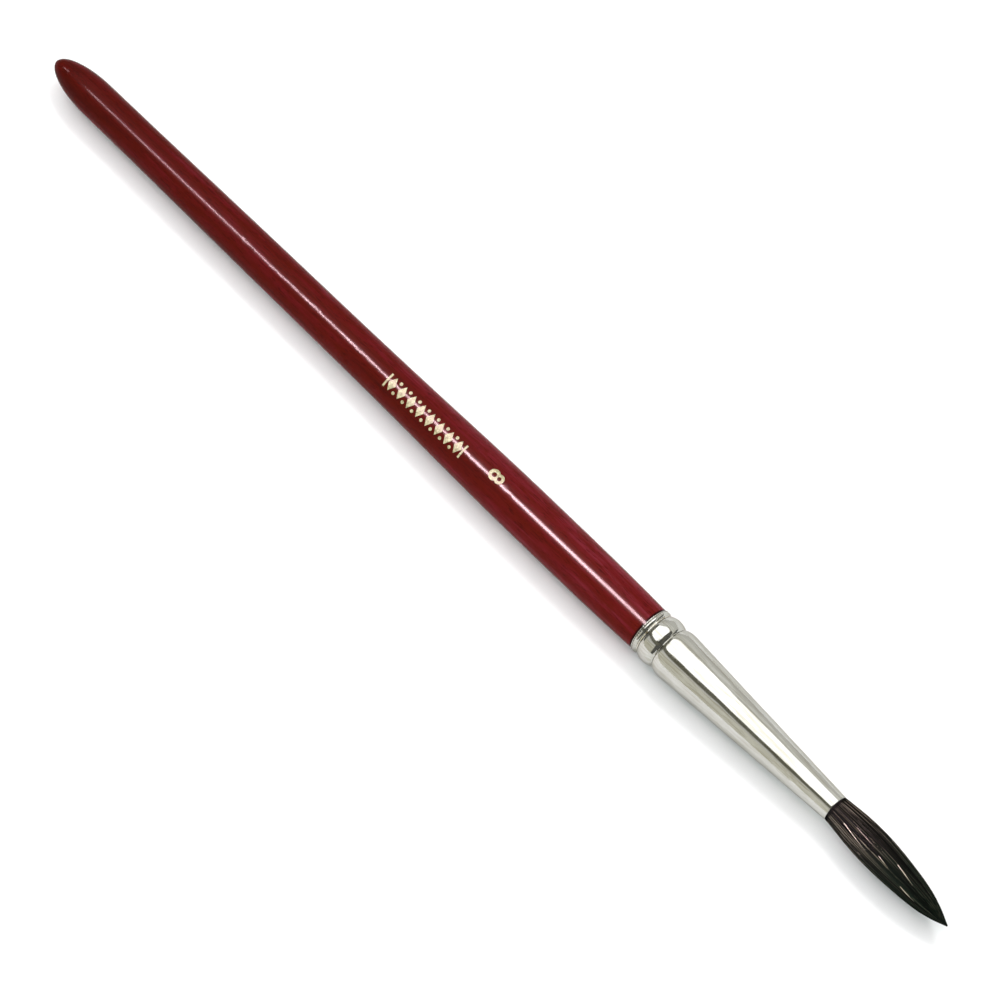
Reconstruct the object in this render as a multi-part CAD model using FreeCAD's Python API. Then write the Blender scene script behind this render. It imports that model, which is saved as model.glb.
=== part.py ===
import FreeCAD, Part
import math
import os

# A round paint brush with a short turned handle, lying on its side.
#
# Frame: +X runs along the brush from the butt of the handle to the tip of the
# hair, and +Z is up. The origin is on the surface that the brush lies on, under
# the middle of its length. Sections are drawn in the brush's own axis frame, as
# (station, radius): the station is the distance from the butt along the axis.

# ---- Driving dimensions, in millimetres ----

overall_length = 205.0
ferrule_exposed = 40.6  # from the ferrule's rim to its mouth
tuft_exposed = 24.8  # hair outside the ferrule

# Handle, measured on the outside of its lacquer
butt_length = 10.0
butt_radius = 3.2
waist_from_butt = 45.0
waist_radius = 3.45
swell_before_belly = 27.6
swell_radius = 3.77
belly_length = 10.0
belly_to_ferrule = 17.0
belly_radius = 4.17
neck_radius = 3.9  # where the handle goes into the ferrule
lacquer_thickness = 0.18

# Ferrule: a drawn tube with a rolled collar and a straight cone
ferrule_wall = 0.26
rim_clearance = 0.03  # round the bare wood at the rim
lip_station = 0.4  # collar stations are measured from the rim
lip_rise = 0.06  # collar rises are measured from the rim's radius
first_crimp_station = 1.1
bead_rise = 0.27
second_crimp_station = 4.3
crimp_bite = 0.03  # how far a crimp presses into the tenon
shoulder_station = 5.8
shoulder_rise = 0.24
mouth_radius = 2.31

# Tenon: the bare end of the wood, glued and crimped in the ferrule
tenon_clearance = 0.1  # room for glue round its taper
tenon_to_resin = 6.6  # empty length left behind the resin
tenon_chamfer = 0.6

# Hair: one bundle, bound at the root and locked in resin
root_length = 14.0
root_spread = 0.1  # how much wider the bound end is than the mouth's bore
resin_behind_root = 3.0
resin_along_root = 6.0
thread_diameter = 0.3
thread_turns = 4
thread_from_root_end = 2.5
tuft_belly_station = 8.5  # from the mouth to the widest place
tuft_belly_radius = 2.94
tuft_tip_radius = 0.12
tuft_tip_drift = 1.15  # how far the tip leans to -Y
tuft_sections = 12

# Gold foil stamped on the lacquer
foil_thickness = 0.04
foil_adhesive = 0.01  # the film of adhesive under the foil, left empty here
numeral_to_ferrule = 33.7
numeral_angle = 8.5  # degrees from straight up, towards -Y
numeral_lower_radius = 0.97
numeral_lower_eye = 0.42
numeral_upper_radius = 0.84
numeral_upper_eye = 0.36
numeral_pitch = 1.1  # between the two rings' centres
ornament_to_ferrule = 49.4
ornament_angle = 20.0
ornament_height = 2.5
ornament_pitch = 2.17
diamond_count = 8
diamond_length = 1.5
dot_radius = 0.28
end_bar_width = 0.35

# ---- Stations and radii that follow from them ----

handle_exposed = overall_length - ferrule_exposed - tuft_exposed
belly_end = handle_exposed - belly_to_ferrule
belly_start = belly_end - belly_length
swell_from_butt = belly_start - swell_before_belly
mouth = handle_exposed + ferrule_exposed

tenon_radius = neck_radius - lacquer_thickness
rim_radius = tenon_radius + rim_clearance + ferrule_wall
crimp_radius = tenon_radius - crimp_bite + ferrule_wall
bead_radius = rim_radius + bead_rise
shoulder_radius = rim_radius + shoulder_rise
cone_taper = (shoulder_radius - mouth_radius) / (ferrule_exposed - shoulder_station)

mouth_bore = mouth_radius - ferrule_wall
root_end = mouth - root_length
root_radius = mouth_bore + root_spread
resin_back = root_end - resin_behind_root
resin_front = root_end + resin_along_root
tenon_end = resin_back - tenon_to_resin

axis_height = max(bead_radius, shoulder_radius, belly_radius, tuft_belly_radius)


# ---- Drawing half sections and turning them ----


def at(station, radius):
    return FreeCAD.Vector(station, 0, radius)


def line(start, end):
    return Part.LineSegment(at(*start), at(*end)).toShape()


def arc(start, middle, end):
    return Part.Arc(at(*start), at(*middle), at(*end)).toShape()


def path(points):
    """Straight edges through (station, radius) points."""
    return [line(a, b) for a, b in zip(points, points[1:])]


def level_ended_curve(points):
    """A smooth curve through the points that starts and ends along the brush."""
    level = FreeCAD.Vector(1, 0, 0)
    curve = Part.BSplineCurve()
    curve.interpolate(Points=[at(*p) for p in points], InitialTangent=level, FinalTangent=level)
    return curve.toShape()


def section(edges):
    return Part.Face(Part.Wire(Part.__sortEdges__(edges)))


def turned(face):
    """Solid of revolution about the brush's axis from each face of a half section."""
    origin = FreeCAD.Vector(0, 0, 0)
    along = FreeCAD.Vector(1, 0, 0)
    solids = [f.revolve(origin, along, 360) for f in face.Faces]
    if len(solids) == 1:
        return solids[0]
    return Part.makeCompound(solids)


# ---- Handle ----


def handle_outline(inset):
    """Edges from the butt to the neck, a given depth under the lacquer's surface."""
    nose_centre = at(butt_length, 0)
    nose = Part.Ellipse(at(inset, 0), at(butt_length, butt_radius - inset), nose_centre)
    shaft_points = [
        (butt_length, butt_radius - inset),
        (waist_from_butt, waist_radius - inset),
        (swell_from_butt, swell_radius - inset),
        (belly_start, belly_radius - inset),
    ]
    belly = (belly_end, belly_radius - inset)
    neck = (handle_exposed, neck_radius - inset)
    # A quarter of the drop at half the run makes the arc leave the belly level.
    easing = ((belly_end + handle_exposed) / 2, (3 * belly_radius + neck_radius) / 4 - inset)
    return [
        Part.ArcOfEllipse(nose, 0, math.pi / 2).toShape(),
        level_ended_curve(shaft_points),
        line(shaft_points[-1], belly),
        arc(belly, easing, neck),
    ]


def handle_section(inset):
    """Half section of the solid handle up to the ferrule's rim."""
    neck_face = path([(handle_exposed, neck_radius - inset), (handle_exposed, 0), (inset, 0)])
    return section(handle_outline(inset) + neck_face)


def cone_bore(station):
    """Radius of the ferrule's inside at a station on its cone."""
    from_shoulder = station - handle_exposed - shoulder_station
    return shoulder_radius - ferrule_wall - cone_taper * from_shoulder


def tenon_section():
    """Half section of the wood inside the ferrule, before the crimps press in."""
    spare = cone_bore(handle_exposed + shoulder_station) - tenon_clearance - tenon_radius
    taper_start = handle_exposed + shoulder_station + max(spare, 0) / cone_taper
    end_radius = min(tenon_radius, cone_bore(tenon_end) - tenon_clearance)
    outline = [
        (handle_exposed, 0),
        (handle_exposed, tenon_radius),
        (min(taper_start, tenon_end - 2 * tenon_chamfer), tenon_radius),
        (tenon_end - tenon_chamfer, end_radius),
        (tenon_end, end_radius - tenon_chamfer),
        (tenon_end, 0),
        (handle_exposed, 0),
    ]
    return section(path(outline))


def bare_tenon_section():
    return tenon_section().cut(ferrule_section())


def handle_core():
    """Hardwood: the turned handle and, in one piece with it, the tenon."""
    return turned(handle_section(lacquer_thickness)).fuse(turned(bare_tenon_section())).removeSplitter()


def lacquer_coat():
    """The coat that covers the wood from the butt to the ferrule's rim."""
    edges = handle_outline(0) + handle_outline(lacquer_thickness)
    edges.append(line((0, 0), (lacquer_thickness, 0)))
    edges.append(line((handle_exposed, neck_radius), (handle_exposed, tenon_radius)))
    return turned(section(edges))


# ---- Ferrule ----


def ferrule_outline(inset):
    """Edges from the rim to the mouth, a given depth under the metal's surface."""

    def collar(station, radius):
        return (handle_exposed + station, radius - inset)

    rim = collar(0, rim_radius)
    first_crimp = collar(first_crimp_station, crimp_radius)
    second_crimp = collar(second_crimp_station, crimp_radius)
    shoulder = collar(shoulder_station, shoulder_radius)
    bead = collar((first_crimp_station + second_crimp_station) / 2, bead_radius)
    # The shoulder rises fast out of the crimp and is nearly level where the cone starts.
    easing = collar(
        second_crimp_station + 0.4 * (shoulder_station - second_crimp_station),
        crimp_radius + 0.65 * (shoulder_radius - crimp_radius),
    )
    return [
        arc(rim, collar(lip_station, rim_radius + lip_rise), first_crimp),
        arc(first_crimp, bead, second_crimp),
        arc(second_crimp, easing, shoulder),
        line(shoulder, (mouth, mouth_radius - inset)),
    ]


def ferrule_section():
    rim = line((handle_exposed, rim_radius), (handle_exposed, rim_radius - ferrule_wall))
    lip = line((mouth, mouth_radius), (mouth, mouth_bore))
    return section(ferrule_outline(0) + ferrule_outline(ferrule_wall) + [rim, lip])


def bore_section(start, end):
    """Half section of the ferrule's inside between two stations."""
    rim_bore = rim_radius - ferrule_wall
    closing = path([(mouth, mouth_bore), (mouth, 0), (handle_exposed, 0), (handle_exposed, rim_bore)])
    window_radius = 2 * bead_radius
    window = [(start, 0), (start, window_radius), (end, window_radius), (end, 0), (start, 0)]
    return section(ferrule_outline(ferrule_wall) + closing).common(section(path(window)))


def ferrule():
    """Nickel-plated brass tube, drawn to a cone and crimped on the tenon twice."""
    return turned(ferrule_section())


def tenon_glue():
    """Glue that fills what the tenon leaves of the ferrule's inside."""
    room = bore_section(handle_exposed, tenon_end - tenon_chamfer)
    return turned(room.cut(tenon_section()))


# ---- Hair and what holds it ----


def bundle_radius(station):
    """Radius of the bound root, from its end to the mouth's bore."""
    return mouth_bore + root_spread * (mouth - station) / root_length


def root_section():
    outline = [(root_end, 0), (root_end, root_radius), (mouth, mouth_bore), (mouth, 0), (root_end, 0)]
    return section(path(outline))


def thread_sections():
    """Circles, side by side, where the turns of thread lie on the root."""
    circles = []
    for turn in range(thread_turns):
        station = root_end + thread_from_root_end + turn * thread_diameter
        centre = at(station, bundle_radius(station) + thread_diameter / 2)
        ring = Part.Circle(centre, FreeCAD.Vector(0, 1, 0), thread_diameter / 2)
        circles.append(Part.Face(Part.Wire(ring.toShape())))
    return circles


def hair_root():
    """The part of the bundle that is held in the ferrule."""
    return turned(root_section())


def binding_thread():
    """Cotton thread round the root, each turn as a closed ring."""
    return Part.makeCompound([turned(circle) for circle in thread_sections()])


def resin_plug():
    """Cast resin behind and round the bound end, which locks the hair in."""
    room = bore_section(resin_back, resin_front).cut(root_section())
    for circle in thread_sections():
        room = room.cut(circle)
    return turned(room)


def tuft_radius(distance):
    """Radius of the free hair at a distance from the mouth."""
    if distance <= tuft_belly_station:
        share = (distance / tuft_belly_station) ** 0.75
        return mouth_bore + (tuft_belly_radius - mouth_bore) * math.sin(share * math.pi / 2)
    share = (distance - tuft_belly_station) / (tuft_exposed - tuft_belly_station)
    return max(tuft_belly_radius * (1 - share**2) ** 0.75, tuft_tip_radius)


def hair_tuft():
    """The free hair, swelling from the mouth and closing to a point that leans a little."""
    circles = []
    for step in range(tuft_sections + 1):
        share = math.sin(step / tuft_sections * math.pi / 2)
        distance = tuft_exposed * share
        centre = FreeCAD.Vector(mouth + distance, -tuft_tip_drift * share**1.4, 0)
        ring = Part.Circle(centre, FreeCAD.Vector(1, 0, 0), tuft_radius(distance))
        circles.append(Part.Wire(ring.toShape()))
    return Part.makeLoft(circles, True, False)


# ---- Foil ----


def foil_skin():
    """A skin of foil over the whole handle, from which the stamped shapes are cut."""
    outside = handle_section(-foil_adhesive - foil_thickness)
    return turned(outside).cut(turned(handle_section(-foil_adhesive)))


def stamped(outlines, station, angle):
    """The foil under each flat outline, pressed on at a station and an angle from the top."""
    skin = foil_skin()
    pieces = []
    for outline in outlines:
        punch = outline.extrude(FreeCAD.Vector(0, 0, 2 * belly_radius))
        punch.translate(FreeCAD.Vector(station, 0, 0))
        punch.rotate(FreeCAD.Vector(0, 0, 0), FreeCAD.Vector(1, 0, 0), angle)
        pieces.extend(punch.common(skin).Solids)
    return Part.makeCompound(pieces)


def disc(centre, radius):
    up = FreeCAD.Vector(0, 0, 1)
    ring = Part.Circle(FreeCAD.Vector(centre, 0, 0), up, radius)
    return Part.Face(Part.Wire(ring.toShape()))


def flat_shape(corners):
    points = [FreeCAD.Vector(x, y, 0) for x, y in corners + corners[:1]]
    return Part.Face(Part.makePolygon(points))


def size_mark():
    """The numeral 8 with its top towards the ferrule: two rings that run together."""
    lower = -numeral_pitch / 2
    upper = numeral_pitch / 2
    rings = disc(lower, numeral_lower_radius).fuse(disc(upper, numeral_upper_radius))
    eyes = disc(lower, numeral_lower_eye).fuse(disc(upper, numeral_upper_eye))
    numeral = rings.removeSplitter().cut(eyes)
    return stamped([numeral], handle_exposed - numeral_to_ferrule, numeral_angle)


def foil_ornament():
    """A row of diamonds with dots between them, closed by a bar at each end."""
    half_height = ornament_height / 2
    half_row = (diamond_count - 1) * ornament_pitch / 2
    outlines = []
    for i in range(diamond_count):
        x = i * ornament_pitch - half_row
        half = diamond_length / 2
        outlines.append(flat_shape([(x - half, 0), (x, half_height), (x + half, 0), (x, -half_height)]))
    for i in range(diamond_count - 1):
        for side in (-1, 1):
            dot = disc((i + 0.5) * ornament_pitch - half_row, dot_radius)
            dot.translate(FreeCAD.Vector(0, side * (half_height - dot_radius), 0))
            outlines.append(dot)
    for side in (-1, 1):
        x = side * (half_row + ornament_pitch / 2)
        half = end_bar_width / 2
        corners = [(x - half, -half_height), (x + half, -half_height)]
        corners += [(x + half, half_height), (x - half, half_height)]
        outlines.append(flat_shape(corners))
    return stamped(outlines, handle_exposed - ornament_to_ferrule, ornament_angle)


# ---- Files ----

SUB_PARTS = [
    handle_core,
    lacquer_coat,
    ferrule,
    tenon_glue,
    hair_root,
    binding_thread,
    resin_plug,
    hair_tuft,
    size_mark,
    foil_ornament,
]

os.makedirs("parts", exist_ok=True)
for make in SUB_PARTS:
    shape = make()
    shape.translate(FreeCAD.Vector(-overall_length / 2, 0, axis_height))
    shape.exportStep(f"parts/{make.__name__}.step")
    solids = len(shape.Solids)
    print(f"{make.__name__}: {solids} solid(s), {shape.Volume:.3f} mm3, valid {shape.isValid()}")
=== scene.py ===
import math

import bpy
import numpy as np
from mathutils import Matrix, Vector


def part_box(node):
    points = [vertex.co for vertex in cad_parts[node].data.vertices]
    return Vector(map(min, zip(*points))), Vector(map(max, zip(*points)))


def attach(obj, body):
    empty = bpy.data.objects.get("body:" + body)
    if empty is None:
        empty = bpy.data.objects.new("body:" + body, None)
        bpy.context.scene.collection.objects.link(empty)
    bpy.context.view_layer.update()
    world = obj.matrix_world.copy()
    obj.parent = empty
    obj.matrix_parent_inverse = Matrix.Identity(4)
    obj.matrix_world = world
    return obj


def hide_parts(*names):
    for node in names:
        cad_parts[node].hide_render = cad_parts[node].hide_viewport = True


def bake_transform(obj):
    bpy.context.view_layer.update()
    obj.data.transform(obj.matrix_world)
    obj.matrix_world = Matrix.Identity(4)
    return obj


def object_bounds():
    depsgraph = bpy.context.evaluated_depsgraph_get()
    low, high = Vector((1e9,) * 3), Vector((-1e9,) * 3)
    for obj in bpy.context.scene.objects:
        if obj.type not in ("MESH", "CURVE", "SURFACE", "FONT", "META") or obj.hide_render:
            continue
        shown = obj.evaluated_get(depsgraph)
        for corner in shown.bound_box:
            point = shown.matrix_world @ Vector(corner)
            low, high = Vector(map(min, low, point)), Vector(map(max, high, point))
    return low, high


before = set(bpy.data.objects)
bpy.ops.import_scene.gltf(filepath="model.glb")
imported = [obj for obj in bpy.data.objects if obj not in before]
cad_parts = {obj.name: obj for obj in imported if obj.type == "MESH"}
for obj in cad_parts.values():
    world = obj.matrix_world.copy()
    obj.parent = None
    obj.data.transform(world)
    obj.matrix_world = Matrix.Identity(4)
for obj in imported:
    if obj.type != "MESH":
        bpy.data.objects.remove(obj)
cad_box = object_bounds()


# ---------------------------------------------------------------------------
# The handle's wood: one turned stick of fine hardwood, with the tenon that the
# ferrule holds. It is bare only inside the ferrule.
# ---------------------------------------------------------------------------

MM = 0.001


class Recipe:
    """A node tree that is written one node at a time."""

    def __init__(self, tree):
        self.tree = tree

    def add(self, kind, inputs=None, **settings):
        node = self.tree.nodes.new(kind)
        for name, value in settings.items():
            setattr(node, name, value)
        for key, value in (inputs or {}).items():
            if isinstance(value, bpy.types.NodeSocket):
                self.tree.links.new(value, node.inputs[key])
            else:
                node.inputs[key].default_value = value
        return node

    def sum(self, operation, first, second=0.0, third=0.0):
        inputs = {0: first, 1: second, 2: third}
        return self.add("ShaderNodeMath", inputs, operation=operation).outputs[0]

    def band(self, value, low, high, to_low=0.0, to_high=1.0, smooth=True):
        """A value's place between two marks, as a share that stops at either end."""
        inputs = {"Value": value, "From Min": low, "From Max": high, "To Min": to_low, "To Max": to_high}
        kind = "SMOOTHSTEP" if smooth else "LINEAR"
        return self.add("ShaderNodeMapRange", inputs, interpolation_type=kind).outputs[0]

    def mix(self, share, first, second):
        inputs = {0: share, 6: first, 7: second}
        return self.add("ShaderNodeMix", inputs, data_type="RGBA").outputs[2]

    def ramp(self, value, stops):
        node = self.add("ShaderNodeValToRGB", {0: value})
        marks = node.color_ramp.elements
        while len(marks) < len(stops):
            marks.new(1.0)
        for mark, (place, colour) in zip(marks, stops):
            mark.position = place
            mark.color = (*colour, 1.0)
        return node.outputs[0]

    def place(self, scale=(1.0, 1.0, 1.0), middle=(0.0, 0.0, 0.0)):
        """Object coordinates, measured from a point and stretched."""
        here = self.add("ShaderNodeTexCoord").outputs["Object"]
        moved = self.add("ShaderNodeVectorMath", {0: here, 1: middle}, operation="SUBTRACT").outputs[0]
        return self.add("ShaderNodeVectorMath", {0: moved, 1: scale}, operation="MULTIPLY").outputs[0]

    def noise(self, vector, scale=1.0, detail=2.0, roughness=0.5, distortion=0.0):
        inputs = {"Vector": vector, "Scale": scale, "Detail": detail,
                  "Roughness": roughness, "Distortion": distortion}
        return self.add("ShaderNodeTexNoise", inputs).outputs["Fac"]

    def bump(self, height, strength, depth):
        inputs = {"Height": height, "Strength": strength, "Distance": depth}
        return self.add("ShaderNodeBump", inputs).outputs[0]


def new_finish(name, **constants):
    """A material with one Principled shader, whose plain numbers are set on its own sockets."""
    material = bpy.data.materials.new(name)
    material.use_nodes = True
    material.node_tree.nodes.clear()
    recipe = Recipe(material.node_tree)
    shader = recipe.add("ShaderNodeBsdfPrincipled")
    recipe.add("ShaderNodeOutputMaterial", {"Surface": shader.outputs[0]})
    for socket, value in constants.items():
        shader.inputs[socket.replace("_", " ")].default_value = value
    return material, recipe, shader


def connect(recipe, shader, **sockets):
    """Links each worked-out colour or number to the shader's socket of that name."""
    for socket, value in sockets.items():
        recipe.tree.links.new(value, shader.inputs[socket.replace("_", " ")])


def give_finish(node, material):
    """Puts a finish on a piece whose CAD shape is kept as it is."""
    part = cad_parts[node]
    part.data.materials.clear()
    part.data.materials.append(material)


axis_z = (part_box("lacquer_coat")[0].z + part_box("lacquer_coat")[1].z) / 2
axis_middle = (0.0, 0.0, axis_z)

wood, recipe, shader = new_finish("turned hardwood", Roughness=0.62, Specular_IOR_Level=0.35)
rings = recipe.noise(recipe.place((35.0, 900.0, 900.0), axis_middle), 1.0, 3.0, 0.6, 0.4)
pores = recipe.noise(recipe.place((500.0, 9000.0, 9000.0), axis_middle), 1.0, 2.0, 0.5)
wood_colour = recipe.ramp(rings, [(0.3, (0.28, 0.15, 0.065)), (0.5, (0.46, 0.28, 0.13)),
                                  (0.72, (0.58, 0.38, 0.2))])
wood_colour = recipe.mix(recipe.band(pores, 0.62, 0.7, 0.0, 0.55), wood_colour, (0.13, 0.06, 0.03, 1.0))
connect(recipe, shader, Base_Color=wood_colour, Normal=recipe.bump(pores, 0.4, 0.03 * MM))
give_finish("handle_core", wood)


# ---------------------------------------------------------------------------
# The lacquer: several dipped coats of deep transparent red over the wood, from
# the butt to the ferrule. The grain shows through as crimson and brown streaks,
# and the side toward the lights is painted more crimson, a painted lit side.
# ---------------------------------------------------------------------------

lacquer, recipe, shader = new_finish("red lacquer over grain", Roughness=0.42, Specular_IOR_Level=0.0,
                                     Coat_Weight=1.0, Coat_Roughness=0.17, Coat_IOR=1.08)
long_grain = recipe.noise(recipe.place((28.0, 750.0, 750.0), axis_middle), 1.0, 3.0, 0.6, 0.6)
mottle = recipe.noise(recipe.place((260.0, 900.0, 900.0), axis_middle), 1.0, 4.0, 0.62, 0.5)
pores = recipe.noise(recipe.place((650.0, 5200.0, 5200.0), axis_middle), 1.0, 2.0, 0.5)
spot = recipe.add("ShaderNodeSeparateXYZ", {0: recipe.place()}).outputs
# Painted lit side: the +Y side, toward the soft box and the key, is shifted toward crimson and the -Y side
# toward brown. The shift along X makes the red a little more crimson toward the ferrule.
grain_and_lit_side_shift = recipe.sum("ADD", recipe.band(spot["X"], -100 * MM, 35 * MM, -0.05, 0.05, False),
                         recipe.band(spot["Y"], -1.0 * MM, 4.0 * MM, -0.03, 0.20))
long_grain = recipe.sum("ADD", long_grain, grain_and_lit_side_shift)
red = recipe.ramp(long_grain, [(0.30, (0.064, 0.0058, 0.0040)), (0.46, (0.096, 0.0066, 0.0048)),
                               (0.58, (0.113, 0.0072, 0.0088)), (0.74, (0.152, 0.0165, 0.0245))])
red = recipe.mix(recipe.band(mottle, 0.42, 0.66, 0.0, 0.65), red, (0.085, 0.0065, 0.0025, 1.0))
red = recipe.mix(recipe.band(pores, 0.54, 0.68, 0.0, 0.60), red, (0.042, 0.0035, 0.0030, 1.0))
rim_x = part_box("ferrule")[0].x
# Painted shade: a thin dark line on the lacquer just short of the ferrule's rim, for the shadow in the gap
# where the lacquer meets the metal.
painted_rim_shade = recipe.band(spot["X"], rim_x - 0.5 * MM, rim_x - 0.2 * MM, 0.0, 0.9)
red = recipe.mix(painted_rim_shade, red, (0.006, 0.002, 0.002, 1.0))
depth = recipe.band(spot["X"], -100 * MM, 37 * MM, 0.79, 1.14, False)
red = recipe.add("ShaderNodeVectorMath", {0: red, "Scale": depth}, operation="SCALE").outputs[0]
waves = recipe.noise(recipe.place((120.0, 260.0, 260.0), axis_middle), 1.0, 0.0, 0.4)
connect(recipe, shader, Base_Color=red, Normal=recipe.bump(pores, 0.10, 0.02 * MM),
        Coat_Normal=recipe.bump(waves, 0.08, 0.2 * MM))
give_finish("lacquer_coat", lacquer)


# ---------------------------------------------------------------------------
# The foil: a numeral and a row of diamonds, dots and bars in pale gold leaf,
# hot-stamped on the lacquer. It is a little worn where the stamp pressed less.
# ---------------------------------------------------------------------------

foil, recipe, shader = new_finish("pale gold foil", Specular_IOR_Level=0.08)
leaf = recipe.noise(recipe.place((2300.0, 2300.0, 2300.0)), 1.0, 3.0, 0.6)
worn = recipe.noise(recipe.place((5200.0, 7800.0, 7800.0)), 1.0, 2.0, 0.6)
foil_colour = recipe.ramp(leaf, [(0.35, (0.24, 0.205, 0.10)), (0.50, (0.41, 0.375, 0.20)),
                                 (0.66, (0.63, 0.58, 0.36))])
foil_colour = recipe.mix(recipe.band(worn, 0.66, 0.74, 0.0, 0.6), foil_colour, (0.22, 0.06, 0.03, 1.0))
connect(recipe, shader, Base_Color=foil_colour, Roughness=recipe.band(leaf, 0.3, 0.7, 0.40, 0.56),
        Normal=recipe.bump(leaf, 0.35, 0.02 * MM))
give_finish("size_mark", foil)
give_finish("foil_ornament", foil)


# ---------------------------------------------------------------------------
# The ferrule: a seamless brass tube, drawn to a taper and nickel plated. A bead
# and two rolled crimps hold it on the tenon, and its mouth grips the hair.
# ---------------------------------------------------------------------------

def outline_of(node, outward):
    """A turned node's wall as (x, radius) rows, read from the faces that look outward or inward."""
    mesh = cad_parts[node].data
    rows = set()
    for face in mesh.polygons:
        radial = Vector((0.0, face.center.y, face.center.z - axis_z)).normalized()
        if face.normal.dot(radial) * outward > 0.2:
            for index in face.vertices:
                point = mesh.vertices[index].co
                rows.add((round(point.x, 6), round(math.hypot(point.y, point.z - axis_z), 7)))
    table = {}
    for x, radius in rows:
        table.setdefault(x, []).append(radius)
    return np.array([(x, sum(found) / len(found)) for x, found in sorted(table.items())])


def lathe(name, outline, sides, swell=None):
    """Turns a closed outline round the brush's axis. A point on the axis becomes a pole."""
    points, faces, rings = [], [], []
    for number, (x, radius) in enumerate(outline):
        if radius < 1e-7:
            rings.append([len(points)] * sides)
            points.append((x, 0.0, axis_z))
            continue
        rings.append(list(range(len(points), len(points) + sides)))
        for side in range(sides):
            angle = 2 * math.pi * side / sides
            here = radius + (swell(number, side) if swell else 0.0)
            points.append((x, -here * math.sin(angle), axis_z + here * math.cos(angle)))
    closed = outline[0][1] > 1e-7
    for ring, after in zip(rings, rings[1:] + rings[:1] if closed else rings[1:]):
        for side in range(sides):
            turn = (side + 1) % sides
            corners = [ring[side], ring[turn], after[turn], after[side]]
            faces.append(list(dict.fromkeys(corners)))
    mesh = bpy.data.meshes.new(name)
    mesh.from_pydata(points, [], faces)
    mesh.polygons.foreach_set("use_smooth", [True] * len(faces))
    mesh.update()
    piece = bpy.data.objects.new(name, mesh)
    bpy.context.collection.objects.link(piece)
    return piece


ferrule_sides = 240
rim_nicks = 60
nick_length = 0.42 * MM
nick_depth = 0.09 * MM
lip_middle = 0.45 * MM
lip_fall = 0.20 * MM
bead_start = 1.1 * MM
bead_middle = 2.7 * MM
bead_fade = 2.0 * MM
bead_end = 6.3 * MM
bead_fall = 0.10 * MM
dent_depth = 0.014 * MM
dent_reach = 5.5 * MM
# Each crimp: how far from the rim, half-width, depth
crimp_lines = [(1.1 * MM, 0.17 * MM, 0.11 * MM), (4.3 * MM, 0.15 * MM, 0.10 * MM)]
edge_round = 0.07 * MM
collar_length = 6.6 * MM
collar_step = 0.05 * MM
cone_step = 0.7 * MM

outside = outline_of("ferrule", 1)
inside = outline_of("ferrule", -1)
mouth_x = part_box("ferrule")[1].x
wall_x = np.concatenate([
    np.arange(rim_x + edge_round, rim_x + collar_length, collar_step),
    np.arange(rim_x + collar_length, mouth_x - edge_round, cone_step),
    [mouth_x - edge_round],
])
outer = list(zip(wall_x, np.interp(wall_x, outside[:, 0], outside[:, 1])))
inner = list(zip(wall_x[::-2], np.interp(wall_x[::-2], inside[:, 0], inside[:, 1])))


def rounded_end(first, last, out_x):
    """A half-round edge from one wall's end to the other's."""
    steps = 6
    edge = []
    for step in range(1, steps):
        turn = math.pi * step / steps
        share = (1 - math.cos(turn)) / 2
        radius = first[1] + (last[1] - first[1]) * share
        x = first[0] + (last[0] - first[0]) * share
        edge.append((x + (out_x - x) * math.sin(turn), radius))
    return edge


mouth_edge = rounded_end(outer[-1], inner[0], mouth_x)
rim_edge = rounded_end(inner[-1], outer[0], rim_x)
ferrule_outline = outer + mouth_edge + inner + rim_edge


def rolled_collar(number, side):
    """What the crimping wheels press in: lip, bead, two grooves, nicks at the rim and small dents."""
    if number >= len(outer):
        return 0.0
    station = ferrule_outline[number][0] - rim_x
    turn = 2 * math.pi * side / ferrule_sides
    change = 0.0
    if station < bead_start:
        change -= lip_fall * min(1.5, ((station - lip_middle) / lip_middle) ** 2)
    if station > bead_start:
        bead = min(1.0, ((station - bead_middle) / (bead_middle - bead_start)) ** 2)
        change -= bead_fall * bead * min(1.0, max(0.0, (bead_end - station) / bead_fade))
    for middle, width, depth in crimp_lines:
        change -= depth * math.exp(-((station - middle) / width) ** 2)
    nicks = 0.5 - 0.5 * math.cos(rim_nicks * turn)
    change -= nick_depth * nicks * max(0.0, 1 - station / nick_length)
    dents = math.sin(7 * turn + 900 * station) + 0.6 * math.sin(16 * turn - 2100 * station)
    change += dent_depth * (dents - 1.6) * math.exp(-(station / dent_reach) ** 4)
    return change


ferrule = lathe("ferrule_tube", ferrule_outline, ferrule_sides, rolled_collar)
nickel, recipe, shader = new_finish("polished nickel plate", Metallic=1.0,
                                    Specular_Tint=(0.62, 0.62, 0.60, 1.0))
cloud = recipe.noise(recipe.place((220.0, 420.0, 420.0), axis_middle), 1.0, 3.0, 0.6)
scuff = recipe.noise(recipe.place((4200.0, 1500.0, 1500.0), axis_middle), 1.0, 2.0, 0.6, 0.8)
sway = recipe.noise(recipe.place((220.0, 420.0, 420.0), axis_middle), 1.0, 1.0, 0.4)
nickel_colour = recipe.ramp(cloud, [(0.3, (0.455, 0.45, 0.415)), (0.7, (0.54, 0.535, 0.505))])
streaks = recipe.noise(recipe.place((90.0, 1900.0, 1900.0), axis_middle), 1.0, 3.0, 0.65, 0.5)
streak_share = recipe.band(streaks, 0.44, 0.64, 0.0, 0.70)
nickel_colour = recipe.mix(streak_share, nickel_colour, (0.365, 0.35, 0.29, 1.0))
scuff_share = recipe.band(scuff, 0.64, 0.72, 0.0, 0.25)
nickel_colour = recipe.mix(scuff_share, nickel_colour, (0.38, 0.37, 0.32, 1.0))
connect(recipe, shader, Base_Color=nickel_colour, Roughness=recipe.band(scuff, 0.35, 0.75, 0.06, 0.17),
        Normal=recipe.bump(sway, 0.34, 0.15 * MM))
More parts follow.
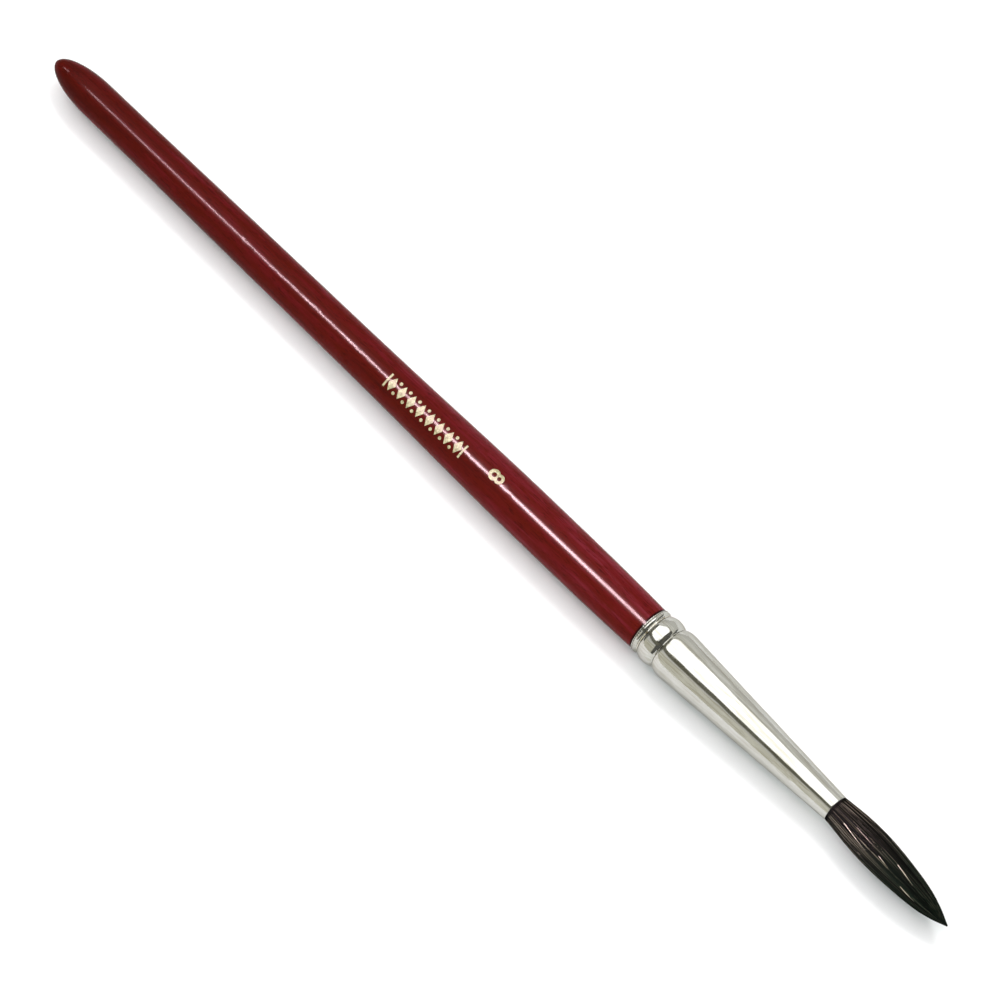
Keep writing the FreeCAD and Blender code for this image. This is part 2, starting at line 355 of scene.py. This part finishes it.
ferrule.data.materials.append(nickel)
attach(ferrule, "handle")
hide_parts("ferrule")


# ---------------------------------------------------------------------------
# The glue: an amber film that sets round the tenon and fills the hollow of the
# bead and the lip, so that the ferrule can't work loose.
# ---------------------------------------------------------------------------

glue, recipe, shader = new_finish("set glue", Roughness=0.3, Specular_IOR_Level=0.5)
lumps = recipe.noise(recipe.place((700.0, 700.0, 700.0)), 1.0, 3.0, 0.6)
glue_colour = recipe.ramp(lumps, [(0.3, (0.42, 0.28, 0.10)), (0.7, (0.66, 0.50, 0.24))])
connect(recipe, shader, Base_Color=glue_colour, Normal=recipe.bump(lumps, 0.5, 0.1 * MM))
give_finish("tenon_glue", glue)


# ---------------------------------------------------------------------------
# The root of the hair: the cut ends of the bundle, packed tight and pushed up
# the ferrule from behind until the belly stands clear of the mouth.
# ---------------------------------------------------------------------------

root, recipe, shader = new_finish("packed hair ends", Roughness=0.5, Specular_IOR_Level=0.4)
strands = recipe.noise(recipe.place((80.0, 9000.0, 9000.0)), 1.0, 2.0, 0.6)
root_colour = recipe.ramp(strands, [(0.35, (0.016, 0.010, 0.007)), (0.7, (0.09, 0.06, 0.04))])
connect(recipe, shader, Base_Color=root_colour, Normal=recipe.bump(strands, 0.6, 0.04 * MM))
give_finish("hair_root", root)


# ---------------------------------------------------------------------------
# The binding thread: four turns of waxed cotton, pulled tight round the root
# so that the bundle holds its shape while it is set.
# ---------------------------------------------------------------------------

thread, recipe, shader = new_finish("waxed cotton thread", Roughness=0.55, Sheen_Weight=0.3)
ply = recipe.noise(recipe.place((2600.0, 5200.0, 5200.0)), 1.0, 2.0, 0.6)
thread_colour = recipe.ramp(ply, [(0.3, (0.44, 0.38, 0.26)), (0.7, (0.72, 0.66, 0.52))])
connect(recipe, shader, Base_Color=thread_colour, Normal=recipe.bump(ply, 0.7, 0.05 * MM))
give_finish("binding_thread", thread)


# ---------------------------------------------------------------------------
# The resin: poured in behind the root, where it runs between the thread's
# turns and sets hard. It locks the hair in the ferrule.
# ---------------------------------------------------------------------------

resin, recipe, shader = new_finish("cast amber resin",
                                   Roughness=0.12, Specular_IOR_Level=0.5, Coat_Weight=0.6)
swirl = recipe.noise(recipe.place((420.0, 600.0, 600.0)), 1.0, 3.0, 0.6, 1.0)
resin_colour = recipe.ramp(swirl, [(0.3, (0.26, 0.11, 0.02)), (0.7, (0.52, 0.29, 0.08))])
connect(recipe, shader, Base_Color=resin_colour, Normal=recipe.bump(swirl, 0.2, 0.1 * MM))
give_finish("resin_plug", resin)


# ---------------------------------------------------------------------------
# The free hair: thousands of soft dark hairs, cupped to a belly and a point,
# in four layers. Natural oils clump them into ridges.
# ---------------------------------------------------------------------------

tuft_low, tuft_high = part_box("hair_tuft")
free_length = tuft_high.x - tuft_low.x
belly_radius = tuft_high.z - axis_z
tip_drift = 1.15 * MM
drift_power = 1.4
# Each row: share of the free length, share of the belly's radius
tuft_profile = [
    (0.0, 0.765),
    (0.016, 0.80),
    (0.08, 0.835),
    (0.2, 0.935),
    (0.34, 0.985),
    (0.444, 0.955),
    (0.633, 0.82),
    (0.752, 0.69),
    (0.875, 0.44),
    (1.0, 0.03),
]
mouth = Vector((tuft_low.x, 0.0, axis_z))


def tuft_point(share, angle, depth):
    """A point at a share of the free length, an angle from the top and a share of the radius."""
    shares, radii = zip(*tuft_profile)
    radius = belly_radius * depth * float(np.interp(share, shares, radii))
    lean = tip_drift * max(share, 0.0) ** drift_power
    across = -radius * math.sin(angle) - lean
    return mouth + Vector((share * free_length, across, radius * math.cos(angle)))


hair_count = 2400
longest_share = 0.999
tip_thickness = 0.18
clumps_round = 22.0
ridges_along = 1.6
ridges_round = 6.0
ridge_middle = 0.62

tree = bpy.data.node_groups.new("hair bundle", "GeometryNodeTree")
sizes = {
    "Hairs": ("NodeSocketInt", hair_count),
    "Points Along": ("NodeSocketInt", 12),
    "Mouth": ("NodeSocketVector", tuple(mouth)),
    "Free Length": ("NodeSocketFloat", free_length),
    "Belly Radius": ("NodeSocketFloat", belly_radius),
    "Tip Drift": ("NodeSocketFloat", tip_drift),
    "Hair Radius": ("NodeSocketFloat", 0.052 * MM),
    "Deepest": ("NodeSocketFloat", 0.8),
    "Outermost": ("NodeSocketFloat", 1.0),
    "Shortest": ("NodeSocketFloat", 0.84),
    "Wander": ("NodeSocketFloat", 0.16),
    "Ridge Height": ("NodeSocketFloat", 0.05),
    "Seed": ("NodeSocketInt", 1),
    "Hair Finish": ("NodeSocketMaterial", None),
}
sockets = {}
for name, (kind, start) in sizes.items():
    socket = tree.interface.new_socket(name=name, in_out="INPUT", socket_type=kind)
    if start is not None:
        socket.default_value = start
    sockets[name] = socket.identifier
tree.interface.new_socket(name="Hair", in_out="OUTPUT", socket_type="NodeSocketGeometry")
bundle = Recipe(tree)
given = bundle.add("NodeGroupInput").outputs


def keep(curve, name, value, domain="CURVE"):
    """Writes a number on every hair, or on every point of it."""
    inputs = {"Geometry": curve, "Name": name, "Value": value}
    store = bundle.add("GeometryNodeStoreNamedAttribute", inputs, data_type="FLOAT", domain=domain)
    return store.outputs[0]


def kept(name):
    """Reads a number that keep() wrote."""
    return bundle.add("GeometryNodeInputNamedAttribute", {"Name": name}, data_type="FLOAT").outputs[0]


def chance(low, high, draw):
    """One of the bundle's fixed-seed random numbers, different for each draw."""
    seed = bundle.sum("ADD", given["Seed"], draw)
    inputs = {2: low, 3: high, "Seed": seed}
    return bundle.add("FunctionNodeRandomValue", inputs, data_type="FLOAT").outputs[1]


def profile_curve(value, stops):
    """A smooth curve through the given stops."""
    node = bundle.add("ShaderNodeFloatCurve", {"Factor": 1.0, "Value": value})
    line = node.mapping.curves[0]
    while len(line.points) < len(stops):
        line.points.new(0.5, 0.5)
    for point, (place, height) in zip(line.points, stops):
        point.location = (place, height)
        point.handle_type = "AUTO_CLAMPED"
    node.mapping.update()
    return node.outputs[0]


ends = {"Start": (0.0, 0.0, 0.0), "End": (1.0, 0.0, 0.0)}
line = bundle.add("GeometryNodeCurvePrimitiveLine", ends).outputs[0]
line = bundle.add("GeometryNodeResampleCurve", {"Curve": line, "Count": given["Points Along"]}).outputs[0]
copies = {"Geometry": line, "Amount": given["Hairs"]}
hairs = bundle.add("GeometryNodeDuplicateElements", copies, domain="SPLINE").outputs[0]
hairs = keep(hairs, "hair_turn", chance(0.0, 2 * math.pi, 11))
depth = bundle.sum("POWER", chance(0.0, 1.0, 12), 0.6)
hairs = keep(hairs, "hair_depth", bundle.band(depth, 0.0, 1.0, given["Deepest"], given["Outermost"], False))
reach = bundle.sum("POWER", chance(0.0, 1.0, 13), 0.7)
reach = bundle.band(reach, 0.0, 1.0, given["Shortest"], longest_share, False)
hairs = keep(hairs, "hair_reach", reach)
hairs = keep(hairs, "hair_tone", chance(0.0, 1.0, 14))
turn = kept("hair_turn")
circle = {0: bundle.sum("COSINE", turn), 1: bundle.sum("SINE", turn)}
around = bundle.add("ShaderNodeCombineXYZ", circle).outputs[0]
hairs = keep(hairs, "hair_clump", bundle.noise(around, clumps_round, 1.0, 0.5))
wander = bundle.sum("MULTIPLY", chance(-1.0, 1.0, 15), given["Wander"])
hairs = keep(hairs, "hair_wander", wander)

along = bundle.add("GeometryNodeSplineParameter").outputs["Factor"]
hairs = keep(hairs, "hair_share", bundle.band(along, 0.0, 1.0, 0.0, kept("hair_reach"), False), "POINT")
share = kept("hair_share")
angle = bundle.sum("ADD", kept("hair_turn"), bundle.sum("MULTIPLY", kept("hair_wander"), share))
sine = bundle.sum("MULTIPLY", bundle.sum("SINE", angle), -1.0)
cosine = bundle.sum("COSINE", angle)
around = bundle.add("ShaderNodeCombineXYZ", {
    0: bundle.sum("MULTIPLY", share, ridges_along),
    1: bundle.sum("MULTIPLY", sine, ridges_round),
    2: bundle.sum("MULTIPLY", cosine, ridges_round),
}).outputs[0]
ridge = bundle.noise(around, 1.0, 2.0, 0.6)
hairs = keep(hairs, "hair_ridge", ridge, "POINT")
lift = bundle.sum("SUBTRACT", kept("hair_ridge"), ridge_middle)
lift = bundle.sum("MULTIPLY", lift, given["Ridge Height"])
girth = bundle.sum("MULTIPLY", profile_curve(share, tuft_profile), given["Belly Radius"])
depth_and_lift = bundle.sum("ADD", kept("hair_depth"), bundle.sum("MULTIPLY", lift, 2.0))
girth = bundle.sum("MULTIPLY", girth, depth_and_lift)
lean = bundle.sum("POWER", bundle.sum("MAXIMUM", share, 0.0), drift_power)
lean = bundle.sum("MULTIPLY", lean, given["Tip Drift"])
where = bundle.add("ShaderNodeCombineXYZ", {
    0: bundle.sum("MULTIPLY", share, given["Free Length"]),
    1: bundle.sum("SUBTRACT", bundle.sum("MULTIPLY", girth, sine), lean),
    2: bundle.sum("MULTIPLY", girth, cosine),
}).outputs[0]
where = bundle.add("ShaderNodeVectorMath", {0: where, 1: given["Mouth"]}, operation="ADD").outputs[0]
hairs = bundle.add("GeometryNodeSetPosition", {"Geometry": hairs, "Position": where}).outputs[0]
taper = bundle.band(bundle.sum("POWER", along, 3.0), 0.0, 1.0, 1.0, tip_thickness, False)
section = bundle.add("GeometryNodeCurvePrimitiveCircle", {"Resolution": 3, "Radius": 1.0}).outputs[0]
hairs = bundle.add("GeometryNodeCurveToMesh", {
    "Curve": hairs,
    "Profile Curve": section,
    "Fill Caps": True,
    "Scale": bundle.sum("MULTIPLY", taper, given["Hair Radius"]),
}).outputs[0]
hairs = bundle.add("GeometryNodeSetShadeSmooth", {"Geometry": hairs}).outputs[0]
hairs = bundle.add("GeometryNodeRealizeInstances", {"Geometry": hairs}).outputs[0]
coloured = {"Geometry": hairs, "Material": given["Hair Finish"]}
hairs = bundle.add("GeometryNodeSetMaterial", coloured).outputs[0]
bundle.add("NodeGroupOutput", {0: hairs})

hair, recipe, shader = new_finish("dark soft hair", Roughness=0.30, Specular_IOR_Level=0.015)
tone = recipe.add("ShaderNodeAttribute", attribute_name="hair_tone").outputs["Fac"]
share = recipe.add("ShaderNodeAttribute", attribute_name="hair_share").outputs["Fac"]
ridge = recipe.add("ShaderNodeAttribute", attribute_name="hair_ridge").outputs["Fac"]
clump = recipe.add("ShaderNodeAttribute", attribute_name="hair_clump").outputs["Fac"]
clump_tone = recipe.band(clump, 0.47, 0.58, 0.0, 0.64)
tone = recipe.sum("ADD", recipe.sum("MULTIPLY", tone, 0.36), clump_tone)
near_mouth = recipe.ramp(tone, [(0.40, (0.0035, 0.0034, 0.0020)), (0.60, (0.0125, 0.0105, 0.0080)),
                                (0.76, (0.092, 0.072, 0.056)), (0.95, (0.34, 0.275, 0.22))])
near_tip = recipe.ramp(tone, [(0.46, (0.0060, 0.0105, 0.0070)), (0.74, (0.0140, 0.0205, 0.0140)),
                              (0.97, (0.080, 0.074, 0.050))])
hair_colour = recipe.mix(recipe.band(share, 0.12, 0.62), near_mouth, near_tip)
deep_shade = (0.001, 0.001, 0.001, 1.0)
# Painted shade: hairs in the valleys between the ridges are darkened toward near black, for the shade that
# falls between the clumps.
hair_colour = recipe.mix(recipe.band(ridge, 0.42, 0.56, 0.9, 0.0), hair_colour, deep_shade)
# Painted shade: the hairs right at the ferrule's mouth are darkened toward near black, for the shadow where
# the tuft goes into the metal.
hair_colour = recipe.mix(recipe.band(share, 0.012, 0.03, 0.9, 0.0), hair_colour, deep_shade)
connect(recipe, shader, Base_Color=hair_colour)

# Each layer: name, deepest and outermost share of the radius, wander, seed
hair_layers = [
    ("hair_outer", 0.955, 1.0, 0.05, 101),
    ("hair_upper", 0.915, 0.98, 0.08, 202),
    ("hair_middle", 0.87, 0.95, 0.22, 303),
    ("hair_inner", 0.80, 0.92, 0.30, 404),
]
hair_pieces = []
for name, deepest, outermost, wandering, seed in hair_layers:
    grower = bpy.data.objects.new(name + "_grower", bpy.data.meshes.new(name + "_grower"))
    bpy.context.collection.objects.link(grower)
    modifier = grower.modifiers.new("hair", "NODES")
    modifier.node_group = tree
    chosen = {"Hairs": hair_count, "Deepest": deepest, "Outermost": outermost, "Wander": wandering,
              "Seed": seed, "Hair Finish": hair}
    for key, value in chosen.items():
        modifier[sockets[key]] = value
    ready = grower.evaluated_get(bpy.context.evaluated_depsgraph_get())
    mesh = bpy.data.meshes.new_from_object(ready)
    bpy.data.objects.remove(grower)
    piece = bpy.data.objects.new(name, mesh)
    bpy.context.collection.objects.link(piece)
    hair_pieces.append(piece)


# ---------------------------------------------------------------------------
# The heart of the tuft: the hair that the outer layers hide, packed close
# enough to be one dark body. It starts just inside the ferrule's mouth.
# ---------------------------------------------------------------------------

core_depth = 0.84
core_inset = 0.3 * MM
core_back_radius = 1.7 * MM
core_sides = 72
core_shares = [0.0, 0.03, 0.08, 0.15, 0.25, 0.34, 0.45, 0.56, 0.66, 0.76, 0.85, 0.92]
core_tip_share = 0.95
core_back = mouth.x - core_inset
core_outline = [(core_back, 0.0), (core_back, core_back_radius)]
for share in core_shares:
    point = tuft_point(share, 0.0, core_depth)
    core_outline.append((point.x, point.z - axis_z))
core_outline.append((tuft_point(core_tip_share, 0.0, 1.0).x, 0.0))
core = lathe("hair_core", core_outline, core_sides)
for vertex in core.data.vertices:
    share = max(0.0, (vertex.co.x - mouth.x) / free_length)
    vertex.co.y -= tip_drift * share ** drift_power
core_hair, recipe, shader = new_finish("dark hair core", Roughness=0.7, Specular_IOR_Level=0.1)
strands = recipe.noise(recipe.place((60.0, 6000.0, 6000.0)), 1.0, 2.0, 0.6)
core_colour = recipe.ramp(strands, [(0.3, (0.003, 0.002, 0.002)), (0.7, (0.012, 0.008, 0.006))])
connect(recipe, shader, Base_Color=core_colour, Normal=recipe.bump(strands, 0.6, 0.05 * MM))
core.data.materials.append(core_hair)
hair_pieces.append(core)


# ---------------------------------------------------------------------------
# The guard hairs: a few stiff pale or tan hairs that got into the bundle and
# show on its outside. Each one tapers toward the tuft's tip.
# ---------------------------------------------------------------------------

guard_steps = 16


def guard_hair(stretch, turn, thickness, bow):
    """One stiff hair lying on the tuft, full at its root end and fine at its tip."""
    line = bpy.data.curves.new("guard", "CURVE")
    line.dimensions = "3D"
    line.bevel_depth = 1.0
    line.bevel_resolution = 1
    line.use_fill_caps = True
    spline = line.splines.new("POLY")
    spline.points.add(guard_steps - 1)
    for step in range(guard_steps):
        part = step / (guard_steps - 1)
        share = (stretch[0] + (stretch[1] - stretch[0]) * part) * MM / free_length
        angle = math.radians(turn[0] + (turn[1] - turn[0]) * part)
        point = tuft_point(share, angle, 1.0 + bow * math.sin(math.pi * part))
        spline.points[step].co = (*point, 1.0)
        swell = math.sin(math.pi * min(1.0, part + 0.25)) ** 0.5
        spline.points[step].radius = thickness * MM * (0.25 + 0.75 * swell)
    holder = bpy.data.objects.new("guard", line)
    bpy.context.collection.objects.link(holder)
    ready = holder.evaluated_get(bpy.context.evaluated_depsgraph_get())
    mesh = bpy.data.meshes.new_from_object(ready)
    bpy.data.objects.remove(holder)
    return mesh


def guard_finish(name, roughness, gloss, dark, light):
    """A hair's colour, banded a little along its length."""
    finish, recipe, shader = new_finish(name, Roughness=roughness, Specular_IOR_Level=gloss)
    stripe = recipe.noise(recipe.place((900.0, 2500.0, 2500.0)), 1.0, 2.0, 0.5)
    connect(recipe, shader, Base_Color=recipe.ramp(stripe, [(0.3, dark), (0.65, light)]))
    return finish


pale = guard_finish("pale guard hair", 0.32, 0.6, (0.38, 0.32, 0.20), (0.70, 0.65, 0.48))
tan = guard_finish("tan guard hair", 0.36, 0.5, (0.13, 0.09, 0.05), (0.28, 0.21, 0.13))

# Each hair: name, its ends along the tuft in mm and round it in degrees, radius in mm, bow, finish
guard_hairs = [
    ("guard_hair_1", (3.0, 8.3), (33, 44), 0.044, 0.02, pale),
    ("guard_hair_2", (10.5, 12.7), (25, 30), 0.036, 0.02, pale),
    ("guard_hair_3", (13.4, 17.2), (0, 9), 0.046, 0.03, pale),
    ("guard_hair_4", (15.9, 18.8), (47, 54), 0.042, 0.02, pale),
    ("guard_hair_5", (5.0, 9.5), (12, 17), 0.028, 0.01, tan),
]
for name, stretch, turn, thickness, bow, finish in guard_hairs:
    mesh = guard_hair(stretch, turn, thickness, bow)
    mesh.materials.clear()
    mesh.materials.append(finish)
    piece = bpy.data.objects.new(name, mesh)
    bpy.context.collection.objects.link(piece)
    hair_pieces.append(piece)

for piece in hair_pieces:
    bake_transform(piece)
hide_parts("hair_tuft")


# ---------------------------------------------------------------------------
# The table: a large sheet of matt white paper on a flat top, which the brush
# lies on.
# ---------------------------------------------------------------------------

table_size = 1.6
half = table_size / 2
corners = [(-half, -half, 0.0), (half, -half, 0.0), (half, half, 0.0), (-half, half, 0.0)]
floor_mesh = bpy.data.meshes.new("white_table")
floor_mesh.from_pydata(corners, [], [(0, 1, 2, 3)])
floor = bpy.data.objects.new("white_table", floor_mesh)
bpy.context.collection.objects.link(floor)
table, recipe, shader = new_finish("white table", Roughness=0.75, Specular_IOR_Level=0.1)
paper = recipe.noise(recipe.place((300.0, 300.0, 300.0)), 1.0, 3.0, 0.6)
paper_colour = recipe.ramp(paper, [(0.3, (0.905, 0.91, 0.915)), (0.7, (0.92, 0.925, 0.93))])
connect(recipe, shader, Base_Color=paper_colour)
floor_mesh.materials.append(table)


# ---------------------------------------------------------------------------
# The light tent: pale cloth all round, a large soft box overhead with a dark
# frame on its near side, a side strip, dark ends, and a hole for the lens.
# ---------------------------------------------------------------------------

world = bpy.data.worlds.new("light tent")
world.use_nodes = True
world.node_tree.nodes.clear()
bpy.context.scene.world = world
tent = Recipe(world.node_tree)
direction = tent.add("ShaderNodeTexCoord").outputs["Generated"]
compass = tent.add("ShaderNodeSeparateXYZ", {0: direction}).outputs
roll = tent.sum("ARCTAN2", compass["Y"], compass["Z"])
roll = tent.sum("MULTIPLY", roll, 180 / math.pi)


def between(value, low, high, soft):
    """One inside a band, nought outside it."""
    rise = tent.band(value, low - soft, low + soft)
    fall = tent.band(value, high - soft, high + soft, 1.0, 0.0)
    return tent.sum("MULTIPLY", rise, fall)


view_azimuth = math.radians(47.035)
view_elevation = math.radians(63.529)
back = Vector((
    math.sin(view_azimuth) * math.cos(view_elevation),
    -math.cos(view_azimuth) * math.cos(view_elevation),
    math.sin(view_elevation),
))
box_middle_roll = 7
box_half_roll = 34
box_middle_x = -0.25
box_half_x = 0.5
box_corner = 5.0
box_roll = tent.sum("MULTIPLY_ADD", roll, 1 / box_half_roll, -box_middle_roll / box_half_roll)
box_roll = tent.sum("POWER", tent.sum("ABSOLUTE", box_roll), box_corner)
box_end = tent.sum("MULTIPLY_ADD", compass["X"], 1 / box_half_x, -box_middle_x / box_half_x)
box_end = tent.sum("POWER", tent.sum("ABSOLUTE", box_end), box_corner)
box_edge = tent.sum("POWER", tent.sum("ADD", box_roll, box_end), 1 / box_corner)
soft_box = tent.band(box_edge, 0.96, 1.03, 1.0, 0.0)
near_side = tent.band(roll, -5.0, 18.0, 1.0, 0.0)
dark_gap = tent.sum("MULTIPLY", between(box_edge, 1.0, 1.54, 0.07), near_side)
side_strip = between(roll, 50.0, 68.0, 2.0)
toward_lens = {0: direction, 1: tuple(back)}
facing = tent.add("ShaderNodeVectorMath", toward_lens, operation="DOT_PRODUCT").outputs["Value"]
lens_hole = tent.band(facing, math.cos(math.radians(10.5)), math.cos(math.radians(8.5)))
low_side = tent.band(roll, -60.0, -47.0, 1.0, 0.0)
front_end = between(compass["X"], 0.27, 1.2, 0.03)
back_end = between(compass["X"], -1.2, -0.78, 0.03)
far_ends = tent.sum("MAXIMUM", front_end, back_end)
glow = tent.mix(low_side, (0.84, 0.84, 0.80, 1.0), (0.90, 0.89, 0.78, 1.0))
glow = tent.mix(far_ends, glow, (0.16, 0.16, 0.15, 1.0))
glow = tent.mix(dark_gap, glow, (0.21, 0.205, 0.16, 1.0))
glow = tent.mix(side_strip, glow, (1.02, 1.02, 0.98, 1.0))
glow = tent.mix(soft_box, glow, (2.45, 2.45, 2.44, 1.0))
glow = tent.mix(lens_hole, glow, (0.12, 0.12, 0.11, 1.0))
backdrop = tent.add("ShaderNodeBackground", {"Color": glow, "Strength": 1.0}).outputs[0]
tent.add("ShaderNodeOutputWorld", {"Surface": backdrop})


# ---------------------------------------------------------------------------
# The strip light: a row of slim tubes over the brush, which draws the long
# highlight on the lacquer. It is flagged off the metal.
# ---------------------------------------------------------------------------

strip_lit = bpy.data.collections.new("lit_by_the_strip")
for node in ("lacquer_coat", "size_mark", "foil_ornament"):
    strip_lit.objects.link(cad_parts[node])
for piece in hair_pieces:
    strip_lit.objects.link(piece)
strip_lit.objects.link(floor)

strip_height = 0.9
strip_colour = (1.0, 0.70, 0.76)
strip_tilt = -13.4
tilt_growth = 30.0
tilt_start = -0.34
# Each tube: middle along the brush, length, half-width in degrees, brightness
strip_tubes = [
    (-0.57, 0.06, 2.0, 210),
    (-0.51, 0.06, 2.0, 350),
    (-0.455, 0.05, 2.2, 570),
    (-0.405, 0.05, 2.6, 900),
    (-0.34, 0.08, 4.0, 1150),
    (-0.27, 0.06, 5.0, 1250),
    (-0.19, 0.10, 5.5, 760),
]
for number, (middle, length, half_angle, power) in enumerate(strip_tubes):
    name = f"strip_light_{number}"
    strip_data = bpy.data.lights.new(name, "AREA")
    strip_data.shape = "RECTANGLE"
    strip_data.size = length
    strip_data.size_y = 2 * strip_height * math.tan(math.radians(half_angle))
    strip_data.energy = power * math.pi * strip_data.size * strip_data.size_y
    strip_data.color = strip_colour
    strip_roll = math.radians(strip_tilt + tilt_growth * max(0.0, middle - tilt_start))
    strip = bpy.data.objects.new(name, strip_data)
    across = strip_height * math.sin(strip_roll)
    strip.location = (middle, across, axis_z + strip_height * math.cos(strip_roll))
    strip.rotation_euler = (-strip_roll, 0.0, 0.0)
    strip.visible_camera = False
    strip.visible_diffuse = False
    strip.light_linking.receiver_collection = strip_lit
    bpy.context.collection.objects.link(strip)


# ---------------------------------------------------------------------------
# The lamps: a small one for the spark on the butt, a broad cool one low in
# front, and the key that throws the soft shadow.
# ---------------------------------------------------------------------------

def round_lamp(name, size, energy, toward, distance, around=(0.0, 0.0, 0.0)):
    """A disk of light at a distance from a point, facing it."""
    data = bpy.data.lights.new(name, "AREA")
    data.shape = "DISK"
    data.size = size
    data.energy = energy
    toward = Vector(toward).normalized()
    lamp = bpy.data.objects.new(name, data)
    lamp.location = Vector(around) + toward * distance
    lamp.rotation_euler = toward.to_track_quat("Z", "Y").to_euler()
    lamp.visible_camera = False
    bpy.context.collection.objects.link(lamp)
    return lamp


butt = (cad_box[0].x, 0.0, axis_z)
end_light = round_lamp("end_light", 0.12, 3.2, (-0.84, -0.12, 0.50), 0.8, butt)
end_light.data.color = (1.0, 0.64, 0.69)
end_light.visible_diffuse = False
end_light.light_linking.receiver_collection = strip_lit

fill = round_lamp("fill_light", 0.7, 3.0, (0.1, -0.90, 0.42), 0.9)
fill.data.color = (0.73, 0.92, 1.0)
fill.visible_glossy = False

key = round_lamp("key_light", 0.2, 1.9, (-0.05, 0.42, 0.90), 0.9)
key.visible_glossy = False


# ---------------------------------------------------------------------------
# The camera: a long lens, high over the brush's side, with the brush across
# the frame from corner to corner.
# ---------------------------------------------------------------------------

camera_distance = 0.75
shift_right = 2.36 * MM
shift_up = -2.43 * MM
right = Vector((math.cos(view_azimuth), math.sin(view_azimuth), 0.0))
up = back.cross(right)
camera_data = bpy.data.cameras.new("camera")
camera_data.lens = 172.163
camera_data.sensor_width = 36.0
camera = bpy.data.objects.new("camera", camera_data)
camera.location = back * camera_distance + right * shift_right + up * shift_up
camera.rotation_euler = (-back).to_track_quat("-Z", "Y").to_euler()
bpy.context.collection.objects.link(camera)
bpy.context.scene.camera = camera
bpy.context.scene.view_settings.view_transform = "Standard"
